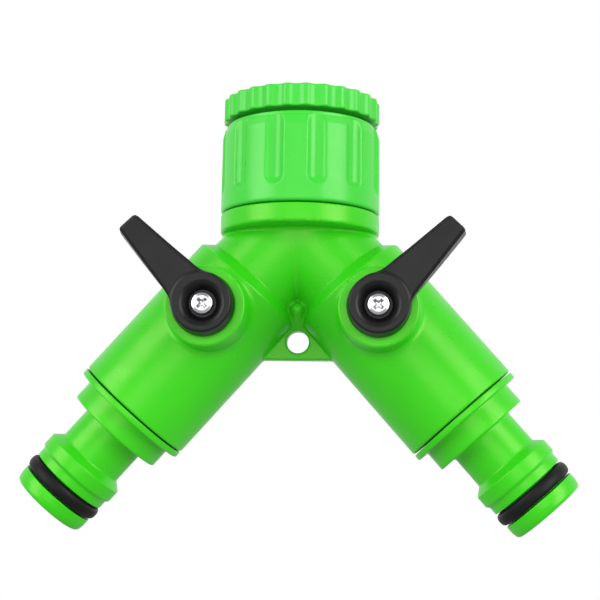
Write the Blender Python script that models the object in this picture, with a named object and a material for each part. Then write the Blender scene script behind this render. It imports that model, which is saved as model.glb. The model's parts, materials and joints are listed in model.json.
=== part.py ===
"""Two-way garden hose splitter: a tap nut with a screw-in adapter, a Y body and two ball-valve legs.

Frame: metres, +Z up the tap's axis, origin at the middle of the inlet's mouth, levers on the -Y side.
Every size below is in millimetres and is turned into metres where a mesh is made.
Heights of the inlet's pieces are Z. Along a leg, distances start where the leg's axis meets the Z axis.
Valve heights are distances in front of the legs' middle plane.
"""

from math import cos, pi, radians, sin, tan

import bmesh
import bpy
from mathutils import Matrix, Vector

MM = 0.001
GAP = 0.3  # room left between two pieces that touch on the real splitter

# Legs
LEG_HALF_ANGLE = radians(41.59)  # between a leg's axis and straight down
JUNCTION_Z = -26.1
ARM_R = 10.34
BARREL_R = 12.45
SHOULDER_START, SHOULDER_END = 13.7, 15.56
BARREL_END = 48.9
LEG_BORE_R = 5.0
CAVITY_R = 9.2
CAVITY_START = 14.96
PIVOT_AT = 24.56
LEG_TOP = -26.0  # the Z at which the legs are cut off, inside the flange

# Inlet adapter, G1/2 inside and G3/4 outside
THREAD_PITCH = 1.814
THREAD_DEPTH = 1.15
THREAD_CREST = 0.25
THREAD_STEPS = 24
THREAD_SINK = 0.3  # how far a ridge's root is sunk into its wall
FLANK_SLOPE = tan(radians(27.5))
MALE_THREAD = (-6.0, -14.6)  # the top and the bottom of each thread's middle line
TAP_THREAD = (-1.3, -10.0)
NUT_THREAD = (-6.37, MALE_THREAD[1] + THREAD_PITCH / 2)  # half a pitch off the male thread it holds
ADAPTER_R = 15.78
ADAPTER_RIM = 4.49
ADAPTER_END = -15.4
ADAPTER_FLOOR = -13.0
RIB_COUNT = 26
SCALLOP_DEPTH = 0.55
RIM_EDGE = 0.4
INNER_ROOT_R = 10.5
OUTER_ROOT_R = 11.9
WASHER_HOLE_R = 5.8

# Swivel nut, G3/4 inside
NUT_R = 16.0
NUT_TOP, NUT_BOTTOM = -5.37, -23.37
NUT_COLLAR_R = 14.9
NUT_SHOULDER = -6.17
NUT_ROOT_R = 13.4
NUT_THREAD_END = -16.2
NUT_CHAMBER_R = 12.6
NUT_FLOOR = -20.9
NUT_HOLE_R = 10.3
FLUTE_COUNT = 12
FLUTE_R = 2.4
FLUTE_DEPTH = 0.95
FLUTE_END = -19.8

# Spigot that the nut turns on, and the flange under the nut
FLANGE_R = 15.95
FLANGE_BOTTOM = -27.47
SPIGOT_R = 9.9
SPIGOT_TOP = -18.3
SPIGOT_BORE_R = 6.0
CLIP_GROOVE_R = 8.9
CLIP_TOP, CLIP_BOTTOM = -19.6, -20.6
CLIP_R = 11.8
CLIP_MOUTH = radians(50)

# Web between the legs
WEB_BOTTOM = -52.63
WEB_TOP = -39.0
WEB_HALF = 1.5
WEB_HOLE_R = 2.2
WEB_HOLE_Z = -49.02
BUTTRESS_R = 1.42

# Valves
BOSS_R = 7.7
BOSS_TOP = 20.3
STEM_HOLE_R = 3.8
STEM_R = 3.5
STEM_FLANGE_R = 4.6
STEM_FLANGE_BOTTOM, STEM_FLANGE_TOP = 7.3, 9.0
STEM_SQUARE = 4.4
STEM_TOP = 21.4
STEM_GROOVE = (13.5, 16.1)
STEM_GROOVE_R = 2.2
TANG = (1.8, 6.4)
TANG_BOTTOM = 5.1
BALL_R = 7.0
BALL_BORE_R = 4.0
LEVER_LEAN = radians(5.0)  # a closed lever leans this far past square, towards the inlet
LEVER_LENGTH = 21.1
LEVER_HUB_R = 5.95
LEVER_HUB_TOP = 24.5
LEVER_ARM = (20.9, 24.3)
LEVER_TIP_HALF = 2.1
LEVER_NECK_HALF = 3.5
LEVER_FLARE = 0.24  # how much wider the outlet side's half is at the back of the tip than at its front
DISH_R, DISH_FLOOR_R, DISH_FLOOR = 3.9, 2.6, 22.5
SCREW_HEAD_R, SCREW_HEAD_TOP = 2.05, 23.8
SCREW_R, SCREW_END = 1.0, 13.5
SCREW_HOLE_R = 1.35

# Outlet nipples, in the usual click-fit shape
NIPPLE_START = 34.16
NIPPLE_FLANGE = (49.2, 50.44)
COLLAR_R, COLLAR_END = 10.25, 54.74
NECK_R, NECK_END = 6.9, 61.81
RIDGE_R, RIDGE_START, RIDGE_END = 8.6, 63.24, 65.72
NOSE_R, NOSE_START, NOSE_END = 8.08, 66.3, 74.32
O_RING_GROOVE = (68.0, 71.2)
O_RING_GROOVE_R, O_RING_R = 6.2, 8.5
NIPPLE_BORE_R = 4.9
PLUG_GROOVE = (39.5, 42.7)
PLUG_GROOVE_R = 6.6


# ---------------------------------------------------------------- modelling helpers


def clear_scene():
    for obj in list(bpy.data.objects):
        bpy.data.objects.remove(obj, do_unlink=True)


def plastic(name, colour, roughness, metallic=0.0):
    material = bpy.data.materials.new(name)
    material.use_nodes = True
    shader = material.node_tree.nodes["Principled BSDF"]
    shader.inputs["Base Color"].default_value = (*colour, 1.0)
    shader.inputs["Roughness"].default_value = roughness
    shader.inputs["Metallic"].default_value = metallic
    material.diffuse_color = (*colour, 1.0)
    return material


def new_object(name, bm, material, smooth=True):
    """The bmesh, in millimetres, as an object in metres."""
    bmesh.ops.scale(bm, vec=(MM, MM, MM), verts=bm.verts)
    mesh = bpy.data.meshes.new(name)
    bm.to_mesh(mesh)
    bm.free()
    if smooth and mesh.polygons:
        mesh.shade_smooth()
        mesh.set_sharp_from_angle(angle=radians(35))
    obj = bpy.data.objects.new(name, mesh)
    bpy.context.scene.collection.objects.link(obj)
    mesh.materials.append(material)
    return obj


def turned(name, profile, material, steps=24):
    """A profile of (radius, height), listed down its outer side, turned about Z. It is a ring unless it
    starts and ends on the axis."""
    bm = bmesh.new()
    points = [bm.verts.new((radius, 0, height)) for radius, height in profile]
    for first, second in zip(points, points[1:]):
        bm.edges.new((first, second))
    if profile[0][0] > 0:
        bm.edges.new((points[-1], points[0]))
    obj = new_object(name, bm, material, smooth=False)
    screw = obj.modifiers.new("turn", "SCREW")
    screw.steps = steps
    screw.render_steps = steps
    screw.use_merge_vertices = True
    screw.merge_threshold = 1e-5
    return obj


def stacked(name, rings, material):
    """A closed solid skinned over rings that have equally many points, with flat ends."""
    bm = bmesh.new()
    rows = [[bm.verts.new(point) for point in ring] for ring in rings]
    count = len(rows[0])
    for lower, upper in zip(rows, rows[1:]):
        for i in range(count):
            j = (i + 1) % count
            bm.faces.new((lower[i], lower[j], upper[j], upper[i]))
    bm.faces.new(rows[0])
    bm.faces.new(rows[-1])
    bmesh.ops.recalc_face_normals(bm, faces=bm.faces)
    return new_object(name, bm, material)


def block(name, size, centre, material):
    bm = bmesh.new()
    bmesh.ops.create_cube(bm, size=1, matrix=Matrix.Translation(centre) @ Matrix.Diagonal((*size, 1)))
    return new_object(name, bm, material)


def rod(name, radius, start, end, material, sides=24):
    """A round bar between two points."""
    start, end = Vector(start), Vector(end)
    along = end - start
    turn = along.to_track_quat("Z", "Y").to_matrix().to_4x4()
    bm = bmesh.new()
    bmesh.ops.create_cone(
        bm,
        cap_ends=True,
        segments=sides,
        radius1=radius,
        radius2=radius,
        depth=along.length,
        matrix=Matrix.Translation((start + end) / 2) @ turn,
    )
    return new_object(name, bm, material)


def thread(name, root, crest, top_and_bottom, material):
    """A right-hand helical ridge from its root radius, sunk into the wall, to its crest radius."""
    top, bottom = top_and_bottom
    sink = THREAD_SINK if root > crest else -THREAD_SINK
    half_crest = THREAD_CREST / 2
    half_root = half_crest + (abs(root - crest) + THREAD_SINK) * FLANK_SLOPE
    section = [(root + sink, -half_root), (crest, -half_crest), (crest, half_crest), (root + sink, half_root)]
    turns = (top - bottom) / THREAD_PITCH
    rings = []
    for step in range(int(turns * THREAD_STEPS) + 1):
        angle = 2 * pi * step / THREAD_STEPS
        height = bottom + THREAD_PITCH * step / THREAD_STEPS
        rings.append([(r * cos(angle), r * sin(angle), height + up) for r, up in section])
    return stacked(name, rings, material)


def as_tool(obj):
    obj.hide_render = True
    obj.display_type = "WIRE"
    return obj


def combine(target, tool, operation, solver):
    as_tool(tool)
    boolean = target.modifiers.new(operation.lower(), "BOOLEAN")
    boolean.operation = operation
    boolean.solver = solver
    boolean.object = tool
    return target


def cut(target, *tools, solver="EXACT"):
    for tool in tools:
        combine(target, tool, "DIFFERENCE", solver)
    return target


def join(target, *tools, solver="EXACT"):
    for tool in tools:
        combine(target, tool, "UNION", solver)
    return target


def place(obj, parent, at=(0, 0, 0)):
    obj.parent = parent
    obj.location = Vector(at) * MM
    return obj


def empty(name, matrix):
    obj = bpy.data.objects.new(name, None)
    bpy.context.scene.collection.objects.link(obj)
    obj.matrix_world = matrix
    return obj


# ---------------------------------------------------------------- frames of the two legs


def leg_direction(side):
    return Vector((side * sin(LEG_HALF_ANGLE), 0, -cos(LEG_HALF_ANGLE)))


def leg_frame(name, side):
    """Local Z runs along the leg, towards its outlet."""
    turn = side * (pi - LEG_HALF_ANGLE)
    return empty(name, Matrix.Translation((0, 0, JUNCTION_Z * MM)) @ Matrix.Rotation(turn, 4, "Y"))


def valve_frame(name, side):
    """Local Z runs out of the boss and local X along the closed lever."""
    pivot = Vector((0, 0, JUNCTION_Z)) + leg_direction(side) * PIVOT_AT
    lean = LEG_HALF_ANGLE + LEVER_LEAN
    along = Vector((side * cos(lean), 0, sin(lean)))
    out = Vector((0, -1, 0))
    across = out.cross(along)
    rotation = Matrix((along, across, out)).transposed().to_4x4()
    return empty(name, Matrix.Translation(pivot * MM) @ rotation)


# ---------------------------------------------------------------- inlet


def rim_outline(radius, height):
    """The adapter's finger rim: narrow ribs with a shallow scallop between each two."""
    points = []
    for rib in range(RIB_COUNT):
        for part, sunk in ((-0.12, 0.0), (0.12, 0.0), (0.36, 1.0), (0.64, 1.0)):
            angle = 2 * pi * (rib + part) / RIB_COUNT
            r = radius - SCALLOP_DEPTH * sunk
            points.append((r * cos(angle), r * sin(angle), height))
    return points


def adapter_ring(material):
    rim = stacked(
        "adapter_ring",
        [
            rim_outline(ADAPTER_R - RIM_EDGE, -ADAPTER_RIM),
            rim_outline(ADAPTER_R, -ADAPTER_RIM + RIM_EDGE),
            rim_outline(ADAPTER_R, -RIM_EDGE),
            rim_outline(ADAPTER_R - RIM_EDGE, 0),
        ],
        material,
    )
    tube = turned(
        "adapter_tube",
        [
            (0, -ADAPTER_RIM / 2),
            (OUTER_ROOT_R, -ADAPTER_RIM / 2),
            (OUTER_ROOT_R, ADAPTER_END + 0.4),
            (OUTER_ROOT_R - 0.4, ADAPTER_END),
            (0, ADAPTER_END),
        ],
        material,
    )
    bore = turned(
        "adapter_bore",
        [
            (0, 1),
            (INNER_ROOT_R + 0.2, 1),
            (INNER_ROOT_R + 0.2, 0),
            (INNER_ROOT_R, -0.6),
            (INNER_ROOT_R, ADAPTER_FLOOR),
            (SPIGOT_BORE_R, ADAPTER_FLOOR),
            (SPIGOT_BORE_R, ADAPTER_END - 1),
            (0, ADAPTER_END - 1),
        ],
        material,
    )
    male_crest, female_crest = OUTER_ROOT_R + THREAD_DEPTH, INNER_ROOT_R - THREAD_DEPTH
    male = thread("adapter_male_thread", OUTER_ROOT_R, male_crest, MALE_THREAD, material)
    female = thread("adapter_female_thread", INNER_ROOT_R, female_crest, TAP_THREAD, material)
    join(rim, tube)
    cut(rim, bore)
    return join(rim, male, female)


def swivel_nut(material):
    nut = turned(
        "swivel_nut",
        [
            (NUT_ROOT_R + 0.6, NUT_TOP),
            (NUT_COLLAR_R - 0.3, NUT_TOP),
            (NUT_COLLAR_R, NUT_TOP - 0.3),
            (NUT_COLLAR_R, NUT_SHOULDER),
            (NUT_R - 0.6, NUT_SHOULDER),
            (NUT_R - 0.15, NUT_SHOULDER - 1.4),
            (NUT_R, NUT_BOTTOM + 0.6),
            (NUT_R - 0.5, NUT_BOTTOM),
            (NUT_HOLE_R, NUT_BOTTOM),
            (NUT_HOLE_R, NUT_FLOOR),
            (NUT_CHAMBER_R, NUT_FLOOR),
            (NUT_CHAMBER_R, NUT_THREAD_END),
            (NUT_ROOT_R, NUT_THREAD_END),
            (NUT_ROOT_R, NUT_TOP - 0.5),
        ],
        material,
        steps=36,
    )
    flutes = []
    reach = NUT_R + FLUTE_R - FLUTE_DEPTH
    for i in range(FLUTE_COUNT):
        angle = 2 * pi * (i + 0.5) / FLUTE_COUNT
        x, y = reach * cos(angle), reach * sin(angle)
        flutes.append(rod(f"flute_{i}", FLUTE_R, (x, y, FLUTE_END), (x, y, NUT_TOP + 1), material, 12))
    cut(nut, *flutes)
    return join(nut, thread("nut_thread", NUT_ROOT_R, NUT_ROOT_R - THREAD_DEPTH, NUT_THREAD, material))


def ring(name, inner, outer, low, high, material, chamfer=0.0, steps=24):
    """A plain ring, or with a chamfer on all four edges, an O-ring's rounded section."""
    if not chamfer:
        return turned(name, [(inner, high), (outer, high), (outer, low), (inner, low)], material, steps)
    profile = [
        (inner + chamfer, high),
        (outer - chamfer, high),
        (outer, high - chamfer),
        (outer, low + chamfer),
        (outer - chamfer, low),
        (inner + chamfer, low),
        (inner, low + chamfer),
        (inner, high - chamfer),
    ]
    return turned(name, profile, material, steps)


def retaining_clip(material):
    """A C-shaped ring that snaps into the spigot's groove and holds the nut down."""
    inner, outer = CLIP_GROOVE_R + GAP, CLIP_R
    steps = 28
    rings = []
    for i in range(steps + 1):
        angle = CLIP_MOUTH / 2 + (2 * pi - CLIP_MOUTH) * i / steps
        section = ((inner, CLIP_BOTTOM), (outer, CLIP_BOTTOM), (outer, CLIP_TOP), (inner, CLIP_TOP))
        rings.append([(r * cos(angle), r * sin(angle), z) for r, z in section])
    return stacked("nut_retaining_ring", rings, material)


# ---------------------------------------------------------------- body


def trunk(material):
    """The flange with the grooved spigot on top."""
    flange_top = NUT_BOTTOM - GAP
    return turned(
        "y_body",
        [
            (0, SPIGOT_TOP),
            (SPIGOT_R - 0.4, SPIGOT_TOP),
            (SPIGOT_R, SPIGOT_TOP - 0.4),
            (SPIGOT_R, CLIP_TOP + GAP),
            (CLIP_GROOVE_R, CLIP_TOP + GAP),
            (CLIP_GROOVE_R, CLIP_BOTTOM - GAP),
            (SPIGOT_R, CLIP_BOTTOM - GAP),
            (SPIGOT_R, flange_top),
            (FLANGE_R - 0.3, flange_top),
            (FLANGE_R, flange_top - 0.3),
            (FLANGE_R, FLANGE_BOTTOM + 0.7),
            (FLANGE_R - 0.7, FLANGE_BOTTOM),
            (0, FLANGE_BOTTOM),
        ],
        material,
        steps=36,
    )


def leg(side_name, frame, material):
    """The arm, the shoulder and the barrel, cut off under the flange's top."""
    shape = turned(
        f"{side_name}_leg",
        [
            (0, BARREL_END),
            (BARREL_R, BARREL_END),
            (BARREL_R, SHOULDER_END),
            (ARM_R, SHOULDER_START),
            (ARM_R, -4),
            (0, -4),
        ],
        material,
        steps=32,
    )
    # The profile is listed from the outlet back, which is down its outer side in the leg's frame.
    place(shape, frame)
    room = 60  # wider than the leg
    lid = block(f"{side_name}_leg_lid", (room, room, room), (0, 0, LEG_TOP + room / 2), material)
    return cut(shape, lid)


def leg_bore(side_name, frame, material):
    bore = turned(
        f"{side_name}_leg_bore",
        [
            (0, BARREL_END + 1),
            (CAVITY_R, BARREL_END + 1),
            (CAVITY_R, CAVITY_START),
            (LEG_BORE_R, CAVITY_START),
            (LEG_BORE_R, 0.5),
            (0, 0.5),
        ],
        material,
    )
    return place(bore, frame)


def web(material):
    """The flat plate between the legs. Its sides end inside them."""
    spread = tan(LEG_HALF_ANGLE)

    def half_width(z):
        return max(1.0, (JUNCTION_Z - z) * spread - BARREL_R / cos(LEG_HALF_ANGLE) + 3.0)

    corners = [
        (-half_width(WEB_BOTTOM), WEB_BOTTOM),
        (half_width(WEB_BOTTOM), WEB_BOTTOM),
        (half_width(WEB_TOP), WEB_TOP),
        (-half_width(WEB_TOP), WEB_TOP),
    ]
    return stacked("web", [[(x, y, z) for x, z in corners] for y in (-WEB_HALF, WEB_HALF)], material)


def buttresses(material):
    """A slanted round rib on each face of the web, up into the crotch between the legs."""
    return [
        rod(name, BUTTRESS_R, (0, face * 4.6, -41.9), (0, face * 0.3, -46.1), material, 12)
        for name, face in (("front_buttress", -1), ("back_buttress", 1))
    ]


def boss(side_name, frame, material):
    shape = turned(
        f"{side_name}_boss",
        [(0, BOSS_TOP), (BOSS_R - 0.3, BOSS_TOP), (BOSS_R, BOSS_TOP - 0.3), (BOSS_R, 4), (0, 4)],
        material,
        steps=28,
    )
    return place(shape, frame)


def stem_hole(side_name, frame, material):
    shape = turned(
        f"{side_name}_stem_hole",
        [
            (0, BOSS_TOP + 1),
            (STEM_HOLE_R, BOSS_TOP + 1),
            (STEM_HOLE_R, STEM_FLANGE_TOP + GAP),
            (STEM_FLANGE_R + GAP, STEM_FLANGE_TOP + GAP),
            (STEM_FLANGE_R + GAP, 0),
            (0, 0),
        ],
        material,
        steps=20,
    )
    return place(shape, frame)


def y_body(sides, material):
    """The legs mirror each other and meet edge to edge in the crotch, where only MANIFOLD stays closed."""
    body = trunk(material)
    added = [leg(name, legs, material) for name, _, legs, _ in sides]
    added += [boss(name, valve, material) for name, _, _, valve in sides]
    added += [web(material), *buttresses(material)]
    join(body, *added, solver="MANIFOLD")
    reach = WEB_HALF + 5
    removed = [rod("throat", SPIGOT_BORE_R, (0, 0, JUNCTION_Z - 3.5), (0, 0, SPIGOT_TOP + 1), material)]
    removed += [leg_bore(name, legs, material) for name, _, legs, _ in sides]
    removed += [stem_hole(name, valve, material) for name, _, _, valve in sides]
    removed += [rod("web_hole", WEB_HOLE_R, (0, -reach, WEB_HOLE_Z), (0, reach, WEB_HOLE_Z), material)]
    return cut(body, *removed, solver="MANIFOLD")


# ---------------------------------------------------------------- one leg's own pieces


def outlet_nipple(side_name, frame, material):
    plug_r = CAVITY_R - GAP
    shape = turned(
        f"{side_name}_outlet_nipple",
        [
            (NIPPLE_BORE_R, NOSE_END),
            (NOSE_R - 0.9, NOSE_END),
            (NOSE_R - 0.25, NOSE_END - 0.4),
            (NOSE_R, NOSE_END - 1.2),
            (NOSE_R, O_RING_GROOVE[1]),
            (O_RING_GROOVE_R, O_RING_GROOVE[1]),
            (O_RING_GROOVE_R, O_RING_GROOVE[0]),
            (NOSE_R, O_RING_GROOVE[0]),
            (NOSE_R, NOSE_START),
            (RIDGE_R, RIDGE_END),
            (RIDGE_R, RIDGE_START),
            (NECK_R, NECK_END),
            (NECK_R, COLLAR_END),
            (COLLAR_R - 0.3, COLLAR_END),
            (COLLAR_R, COLLAR_END - 0.3),
            (COLLAR_R, NIPPLE_FLANGE[1]),
            (BARREL_R, NIPPLE_FLANGE[1]),
            (BARREL_R, NIPPLE_FLANGE[0]),
            (plug_r, NIPPLE_FLANGE[0]),
            (plug_r, PLUG_GROOVE[1]),
            (PLUG_GROOVE_R, PLUG_GROOVE[1]),
            (PLUG_GROOVE_R, PLUG_GROOVE[0]),
            (plug_r, PLUG_GROOVE[0]),
            (plug_r, NIPPLE_START),
            (NIPPLE_BORE_R, NIPPLE_START),
        ],
        material,
    )
    return place(shape, frame)


def seat(name, frame, facing, material):
    """A ring that holds the ball: its cone faces the ball. facing is 1 on the inlet's side of the ball."""
    far = PIVOT_AT - CAVITY_START - GAP if facing > 0 else NIPPLE_START - GAP - PIVOT_AT
    outer = CAVITY_R - GAP
    lip, step = 4.2, 5.1  # the step leaves room for the stem's flange
    section = [(6.3, lip), (6.9, lip), (6.9, step), (outer, step), (outer, far), (4.6, far), (4.6, 5.9)]
    profile = [(r, PIVOT_AT - facing * d) for r, d in section]
    return place(turned(name, profile if facing > 0 else profile[::-1], material), frame)


def valve_ball(side_name, frame, material):
    bm = bmesh.new()
    bmesh.ops.create_uvsphere(bm, u_segments=20, v_segments=12, radius=BALL_R)
    ball = place(new_object(f"{side_name}_valve_ball", bm, material), frame)
    bore = rod(f"{side_name}_ball_bore", BALL_BORE_R, (-9, 0, 0), (9, 0, 0), material, 16)
    low = TANG_BOTTOM - GAP
    slot = block(
        f"{side_name}_ball_slot",
        (TANG[0] + 2 * GAP, 2 * BALL_R + 2, 4),
        (0, 0, low + 2),
        material,
    )
    return cut(ball, place(bore, frame), place(slot, frame))


def valve_stem(side_name, frame, material):
    stem = turned(
        f"{side_name}_valve_stem",
        [
            (0, BOSS_TOP),
            (STEM_R, BOSS_TOP),
            (STEM_R, STEM_GROOVE[1]),
            (STEM_GROOVE_R, STEM_GROOVE[1]),
            (STEM_GROOVE_R, STEM_GROOVE[0]),
            (STEM_R, STEM_GROOVE[0]),
            (STEM_R, STEM_FLANGE_TOP),
            (STEM_FLANGE_R, STEM_FLANGE_TOP),
            (STEM_FLANGE_R, STEM_FLANGE_BOTTOM),
            (0, STEM_FLANGE_BOTTOM),
        ],
        material,
        steps=16,
    )
    place(stem, frame)
    square_low = BOSS_TOP - 1  # both blocks are sunk into the round stem
    square = block(
        f"{side_name}_stem_square",
        (STEM_SQUARE, STEM_SQUARE, STEM_TOP - square_low),
        (0, 0, (STEM_TOP + square_low) / 2),
        material,
    )
    tang_top = STEM_FLANGE_BOTTOM + 0.5
    tang = block(
        f"{side_name}_stem_tang",
        (TANG[0], TANG[1], tang_top - TANG_BOTTOM),
        (0, 0, (tang_top + TANG_BOTTOM) / 2),
        material,
    )
    low, high = (0, 0, SCREW_END - 0.8), (0, 0, STEM_TOP + 1)
    hole = rod(f"{side_name}_stem_screw_hole", SCREW_HOLE_R, low, high, material, 12)
    join(stem, place(square, frame), place(tang, frame))
    return cut(stem, place(hole, frame))


def lever_outline(side, shrink, flare):
    """The arm seen from the front, from the hub's middle to the flat-cut tip. The side towards the inlet
    sweeps into the hub in a wide hollow, and the other runs almost straight into it and slopes outwards."""
    tip, neck = LEVER_TIP_HALF - shrink, LEVER_NECK_HALF - shrink
    length = LEVER_LENGTH - shrink
    inlet_side = [
        (-1.5, LEVER_HUB_R - 1.0 - shrink),
        (2.2, LEVER_HUB_R - 0.9 - shrink),
        (3.9, neck + 0.85),
        (5.8, neck + 0.35),
        (8.0, neck + 0.1),
        (12.0, neck - 0.4),
        (length - 0.8, tip + 0.1),
        (length, tip - 0.6),
    ]
    outlet_side = [
        (length, (-tip + 0.6) * (1 + flare)),
        (length - 0.8, (-tip + 0.05) * (1 + flare)),
        (8.0, (-neck + 0.15) * (1 + flare / 5)),
        (5.9, -neck - 0.12),
        (4.5, -neck - 0.5),
        (3.2, -neck - 1.1),
        (1.0, -LEVER_HUB_R + 0.7 + shrink),
        (-1.5, -LEVER_HUB_R + 1.0 + shrink),
    ]
    return [(x, side * y) for x, y in inlet_side + outlet_side]


def lever(side_name, side, frame, material):
    hub = turned(
        f"{side_name}_lever",
        [
            (0, LEVER_HUB_TOP),
            (LEVER_HUB_R - 0.7, LEVER_HUB_TOP),
            (LEVER_HUB_R - 0.2, LEVER_HUB_TOP - 0.3),
            (LEVER_HUB_R, LEVER_HUB_TOP - 0.9),
            (LEVER_HUB_R, BOSS_TOP + GAP),
            (0, BOSS_TOP + GAP),
        ],
        material,
        steps=28,
    )
    place(hub, frame)
    low, high = LEVER_ARM
    arm = stacked(
        f"{side_name}_lever_arm",
        [
            [(x, y, z) for x, y in lever_outline(side, shrink, LEVER_FLARE * (high - z) / (high - low))]
            for z, shrink in ((low, 0.15), (low + 0.3, 0), (high - 0.4, 0), (high, 0.4))
        ],
        material,
    )
    dish = turned(
        f"{side_name}_lever_dish",
        [
            (0, LEVER_HUB_TOP + 1),
            (DISH_R, LEVER_HUB_TOP + 1),
            (DISH_R, LEVER_HUB_TOP),
            (DISH_FLOOR_R, DISH_FLOOR),
            (0, DISH_FLOOR),
        ],
        material,
        steps=20,
    )
    socket_top = STEM_TOP + GAP
    socket = block(
        f"{side_name}_lever_socket",
        (STEM_SQUARE + 2 * GAP, STEM_SQUARE + 2 * GAP, 4),
        (0, 0, socket_top - 2),
        material,
    )
    low, high = (0, 0, BOSS_TOP), (0, 0, DISH_FLOOR + 1)
    hole = rod(f"{side_name}_lever_screw_hole", SCREW_HOLE_R, low, high, material, 12)
    join(hub, place(arm, frame))
    return cut(hub, place(dish, frame), place(socket, frame), place(hole, frame))


def lever_screw(side_name, frame, material):
    head_low = DISH_FLOOR + GAP
    screw = turned(
        f"{side_name}_lever_screw",
        [
            (0, SCREW_HEAD_TOP),
            (SCREW_HEAD_R * 0.55, SCREW_HEAD_TOP - 0.08),
            (SCREW_HEAD_R * 0.9, SCREW_HEAD_TOP - 0.45),
            (SCREW_HEAD_R, SCREW_HEAD_TOP - 0.9),
            (SCREW_HEAD_R, head_low),
            (SCREW_R, head_low),
            (SCREW_R, SCREW_END + 0.8),
            (0, SCREW_END),
        ],
        material,
        steps=16,
    )
    place(screw, frame)
    centre = (0, 0, SCREW_HEAD_TOP + 0.1)
    for i, size in enumerate(((2.3, 0.5, 2.0), (0.5, 2.3, 2.0))):
        slot = block(f"{side_name}_cross_slot_{i}", size, centre, material)
        cut(screw, place(slot, frame))
    return screw


# ---------------------------------------------------------------- assembly


def build():
    clear_scene()
    green = plastic("green_plastic", (0.08, 0.74, 0.03), 0.32)
    mint = plastic("mint_green_plastic", (0.09, 0.80, 0.10), 0.36)
    black = plastic("black_plastic", (0.012, 0.012, 0.013), 0.42)
    white = plastic("white_seat_plastic", (0.80, 0.80, 0.78), 0.40)
    rubber = plastic("black_rubber", (0.010, 0.010, 0.010), 0.60)
    steel = plastic("steel", (0.62, 0.62, 0.64), 0.28, 1.0)
    chrome = plastic("chromed_brass", (0.78, 0.78, 0.80), 0.12, 1.0)

    inlet = empty("inlet_axis", Matrix.Identity(4))
    sides = [
        (name, side, leg_frame(f"{name}_leg_axis", side), valve_frame(f"{name}_valve_axis", side))
        for name, side in (("left", -1), ("right", 1))
    ]

    y_body(sides, green)
    place(adapter_ring(mint), inlet)
    place(swivel_nut(mint), inlet)
    place(retaining_clip(steel), inlet)
    washer_low = SPIGOT_TOP + GAP
    place(ring("nut_washer", WASHER_HOLE_R, 11.8, washer_low, ADAPTER_END - GAP, rubber), inlet)
    pad_low = ADAPTER_FLOOR + GAP
    place(ring("adapter_washer", WASHER_HOLE_R, INNER_ROOT_R - GAP, pad_low, pad_low + 2.0, rubber), inlet)

    for name, side, leg_axis, valve_axis in sides:
        outlet_nipple(name, leg_axis, green)
        o_ring_low, o_ring_high = O_RING_GROOVE[0] + GAP, O_RING_GROOVE[1] - GAP
        o_ring = ring(
            f"{name}_nipple_o_ring", O_RING_GROOVE_R + GAP, O_RING_R, o_ring_low, o_ring_high, rubber, 0.6
        )
        place(o_ring, leg_axis)
        plug_low, plug_high = PLUG_GROOVE[0] + GAP, PLUG_GROOVE[1] - GAP
        plug_ring = ring(
            f"{name}_plug_o_ring", PLUG_GROOVE_R + GAP, CAVITY_R - GAP, plug_low, plug_high, rubber, 0.6
        )
        place(plug_ring, leg_axis)
        seat(f"{name}_inner_seat", leg_axis, 1, white)
        seat(f"{name}_outer_seat", leg_axis, -1, white)
        valve_ball(name, valve_axis, chrome)
        valve_stem(name, valve_axis, black)
        stem_low, stem_high = STEM_GROOVE[0] + GAP, STEM_GROOVE[1] - GAP
        inner, outer = STEM_GROOVE_R + GAP, STEM_HOLE_R - GAP
        stem_ring = ring(f"{name}_stem_o_ring", inner, outer, stem_low, stem_high, rubber, 0.3, 16)
        place(stem_ring, valve_axis)
        lever(name, side, valve_axis, black)
        lever_screw(name, valve_axis, steel)


build()
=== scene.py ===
"""Looks of the two-way hose splitter: fine meshes for every CAD node, materials, light and camera.

Meshes are worked out in millimetres and stored in metres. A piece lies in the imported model's frame,
where its CAD node is.
"""

import json
from math import cos, pi, radians, sin, tan

import bpy
import numpy as np
from mathutils import Matrix, Vector


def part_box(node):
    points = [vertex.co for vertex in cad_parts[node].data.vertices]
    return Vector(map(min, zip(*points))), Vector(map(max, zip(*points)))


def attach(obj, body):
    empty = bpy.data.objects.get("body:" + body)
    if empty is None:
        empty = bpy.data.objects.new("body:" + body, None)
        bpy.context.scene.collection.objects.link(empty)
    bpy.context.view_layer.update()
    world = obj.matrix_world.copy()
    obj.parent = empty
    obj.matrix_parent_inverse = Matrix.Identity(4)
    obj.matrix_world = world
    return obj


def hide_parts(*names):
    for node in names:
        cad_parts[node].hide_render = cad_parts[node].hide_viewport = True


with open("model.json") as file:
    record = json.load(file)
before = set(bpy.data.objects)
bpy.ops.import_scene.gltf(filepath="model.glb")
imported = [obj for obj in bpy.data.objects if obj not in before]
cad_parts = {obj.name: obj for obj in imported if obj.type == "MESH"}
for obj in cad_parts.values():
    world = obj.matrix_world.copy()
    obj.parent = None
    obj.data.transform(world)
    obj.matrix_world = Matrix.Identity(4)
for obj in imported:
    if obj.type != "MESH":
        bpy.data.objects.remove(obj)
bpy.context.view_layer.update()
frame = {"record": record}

MM = 0.001
GAP = 0.3  # millimetres between pieces that touch on the real object
RECORD = frame["record"]
MOUNTS = {mount["name"]: mount for mount in RECORD["mounts"]}
JOINTS = {joint["name"]: joint for joint in RECORD["behaviour"]["joints"]}
BODY_OF = {node: body for body, nodes in RECORD["behaviour"]["bodies"].items() for node in nodes}
SLOT_OF = {part["node"]: part["material_slot"] for part in RECORD["subparts"]}
SOLID = -20.0  # a radius past the axis, so that an outline that starts there is solid to its middle

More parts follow.
